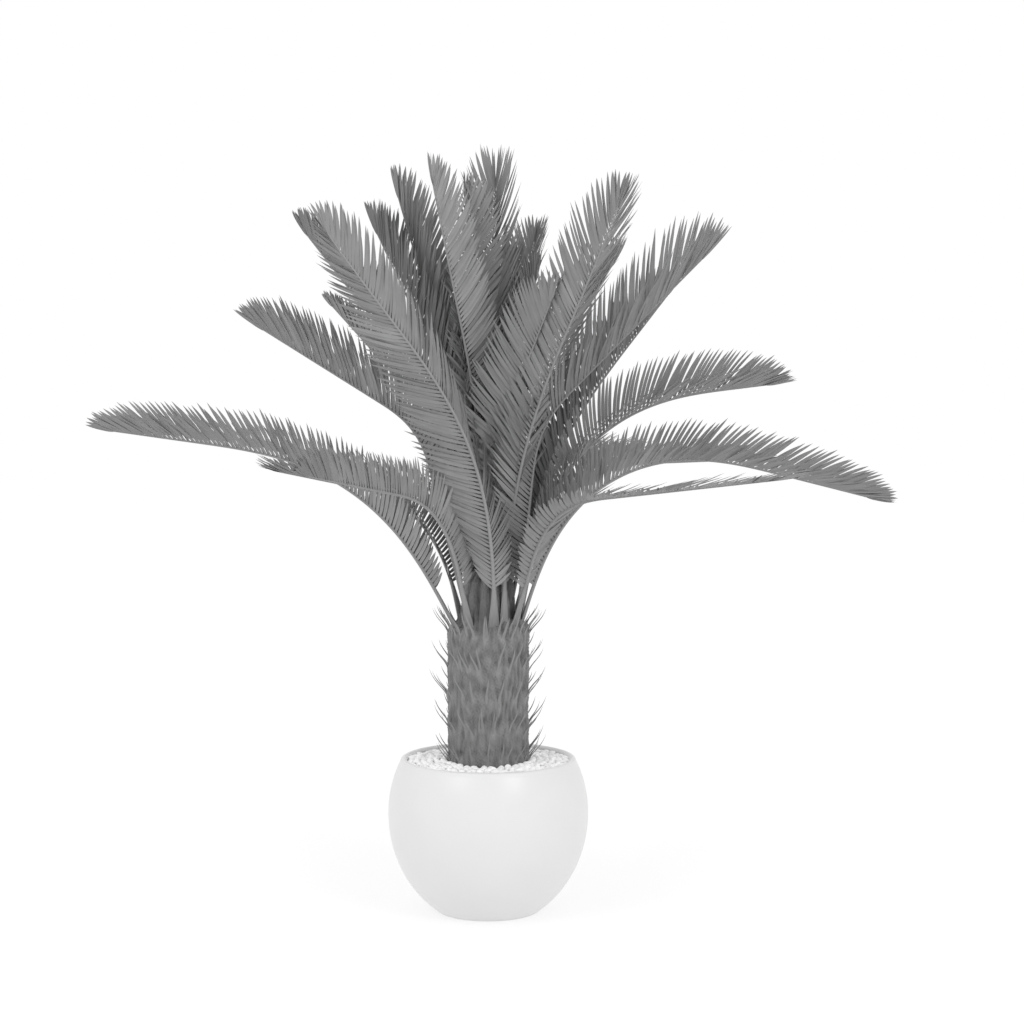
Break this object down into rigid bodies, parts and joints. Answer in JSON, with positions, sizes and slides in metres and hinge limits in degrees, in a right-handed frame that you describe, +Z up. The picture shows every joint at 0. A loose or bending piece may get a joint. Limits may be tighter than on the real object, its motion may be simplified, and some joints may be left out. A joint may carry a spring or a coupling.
{
  "type": "artificial sago palm in a round pot",
  "caption": "Potted artificial sago palm: a straight bract-covered trunk with a full crown of arching feathered fronds, set in pebbles in a round white pot.",
  "frame": {"origin": "middle of the pot's flat underside", "axes": "+Z up along the trunk, -Y towards the viewer of the reference picture, +X to that viewer's right"},
  "size_m": [1.2289, 0.9902, 1.2004],
  "materials": {
    "pot": "satin",
    "filling": "matte",
    "pebbles": "satin",
    "trunk": "matte",
    "bract": "matte",
    "frond": "matte"
  },
  "bodies": {
    "root": {"bract_collar_1": "bract", "bract_collar_2": "bract", "bract_collar_3": "bract", "bract_collar_4": "bract", "bract_collar_5": "bract", "frond_low_01": "frond", "frond_low_02_blade": "frond", "frond_low_02_foot": "frond", "frond_low_03": "frond", "frond_low_04": "frond", "frond_low_05_blade": "frond", "frond_low_05_foot": "frond", "frond_low_06": "frond", "frond_low_07_blade": "frond", "frond_low_07_foot": "frond", "frond_low_08_blade": "frond", "frond_low_08_foot": "frond", "frond_low_09_blade": "frond", "frond_low_09_foot": "frond", "frond_low_10_blade": "frond", "frond_low_10_foot": "frond", "frond_low_11_blade": "frond", "frond_low_11_foot": "frond", "frond_low_12_blade": "frond", "frond_low_12_foot": "frond", "frond_mid_01": "frond", "frond_mid_02": "frond", "frond_mid_03": "frond", "frond_mid_04": "frond", "frond_mid_05": "frond", "frond_mid_06": "frond", "frond_mid_07": "frond", "frond_mid_08": "frond", "frond_mid_09": "frond", "frond_mid_10": "frond", "frond_top_01": "frond", "frond_top_02": "frond", "frond_top_03": "frond", "frond_top_04": "frond", "frond_top_05": "frond", "frond_top_06": "frond", "pebbles": "pebbles", "pot": "pot", "pot_fill": "filling", "trunk": "trunk"}
  },
  "joints": []
}
